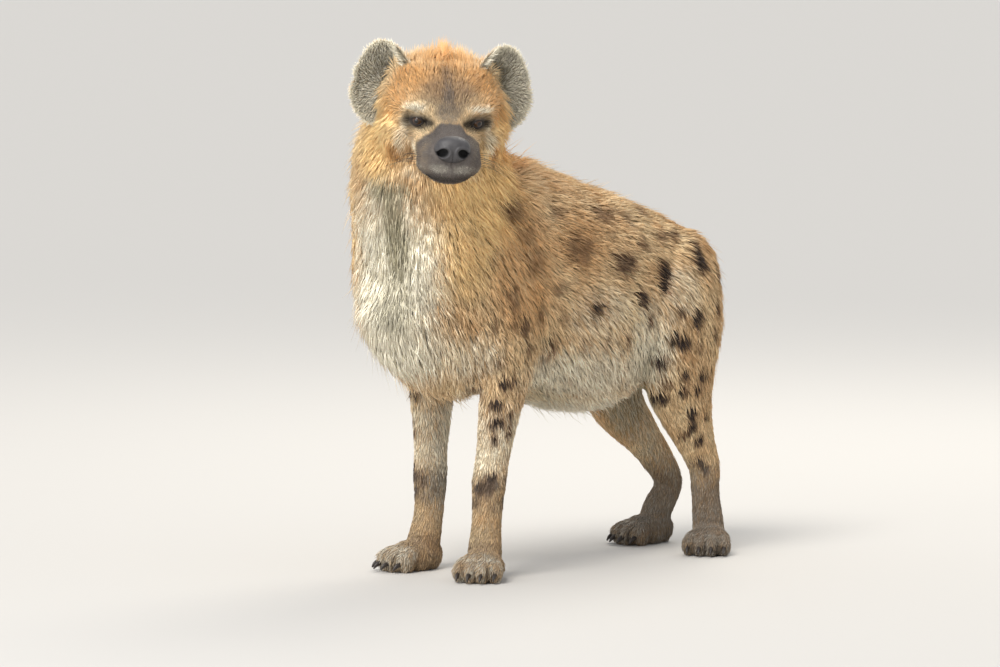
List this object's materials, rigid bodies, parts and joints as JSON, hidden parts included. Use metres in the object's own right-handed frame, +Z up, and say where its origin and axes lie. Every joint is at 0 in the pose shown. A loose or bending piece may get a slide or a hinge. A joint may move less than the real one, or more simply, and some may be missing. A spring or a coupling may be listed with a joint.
{
  "type": "spotted hyena",
  "caption": "Spotted hyena standing still on its four feet, head raised and turned to its left, round ears up, back sloping down to the rump, shaggy neck, tail hanging.",
  "frame": {"origin": "on the floor, at the centre of the bounding box seen from above", "axes": "+Z up; the body faces -Y and its left side is +X; the head is turned towards +X"},
  "size_m": [0.447, 0.974, 1.0309],
  "materials": {
    "coat_head": "short tan and grey-brown fur, dark round the eyes and muzzle",
    "coat_ears": "short grizzled grey fur with a pale edge",
    "coat_neck": "long golden tan fur, cream on the throat and chest",
    "coat_torso": "tan fur with brown spots, pale below",
    "coat_shoulders": "orange tan fur with brown blotches",
    "coat_thighs": "pale tan fur with dark spots",
    "coat_lower_legs": "short spotted fur, dark grey-brown below",
    "coat_paws": "short grey-brown fur with dark toes",
    "coat_tail": "short tan fur",
    "coat_tail_brush": "long black-brown hair",
    "nose": "bare charcoal skin with a soft sheen",
    "eyes": "wet dark brown",
    "claws": "dark horn"
  },
  "bodies": {
    "root": {"ear_left": "coat_ears", "ear_right": "coat_ears", "eye_left": "eyes", "eye_right": "eyes", "forearm_left": "coat_lower_legs", "forearm_right": "coat_lower_legs", "foreclaw_left_1": "claws", "foreclaw_left_2": "claws", "foreclaw_left_3": "claws", "foreclaw_left_4": "claws", "foreclaw_right_1": "claws", "foreclaw_right_2": "claws", "foreclaw_right_3": "claws", "foreclaw_right_4": "claws", "forepaw_left": "coat_paws", "forepaw_right": "coat_paws", "head": "coat_head", "hindclaw_left_1": "claws", "hindclaw_left_2": "claws", "hindclaw_left_3": "claws", "hindclaw_left_4": "claws", "hindclaw_right_1": "claws", "hindclaw_right_2": "claws", "hindclaw_right_3": "claws", "hindclaw_right_4": "claws", "hindpaw_left": "coat_paws", "hindpaw_right": "coat_paws", "neck": "coat_neck", "nose": "nose", "shank_left": "coat_lower_legs", "shank_right": "coat_lower_legs", "shoulder_left": "coat_shoulders", "shoulder_right": "coat_shoulders", "tail_brush": "coat_tail_brush", "tail_dock": "coat_tail", "thigh_left": "coat_thighs", "thigh_right": "coat_thighs", "torso": "coat_torso"}
  },
  "joints": []
}
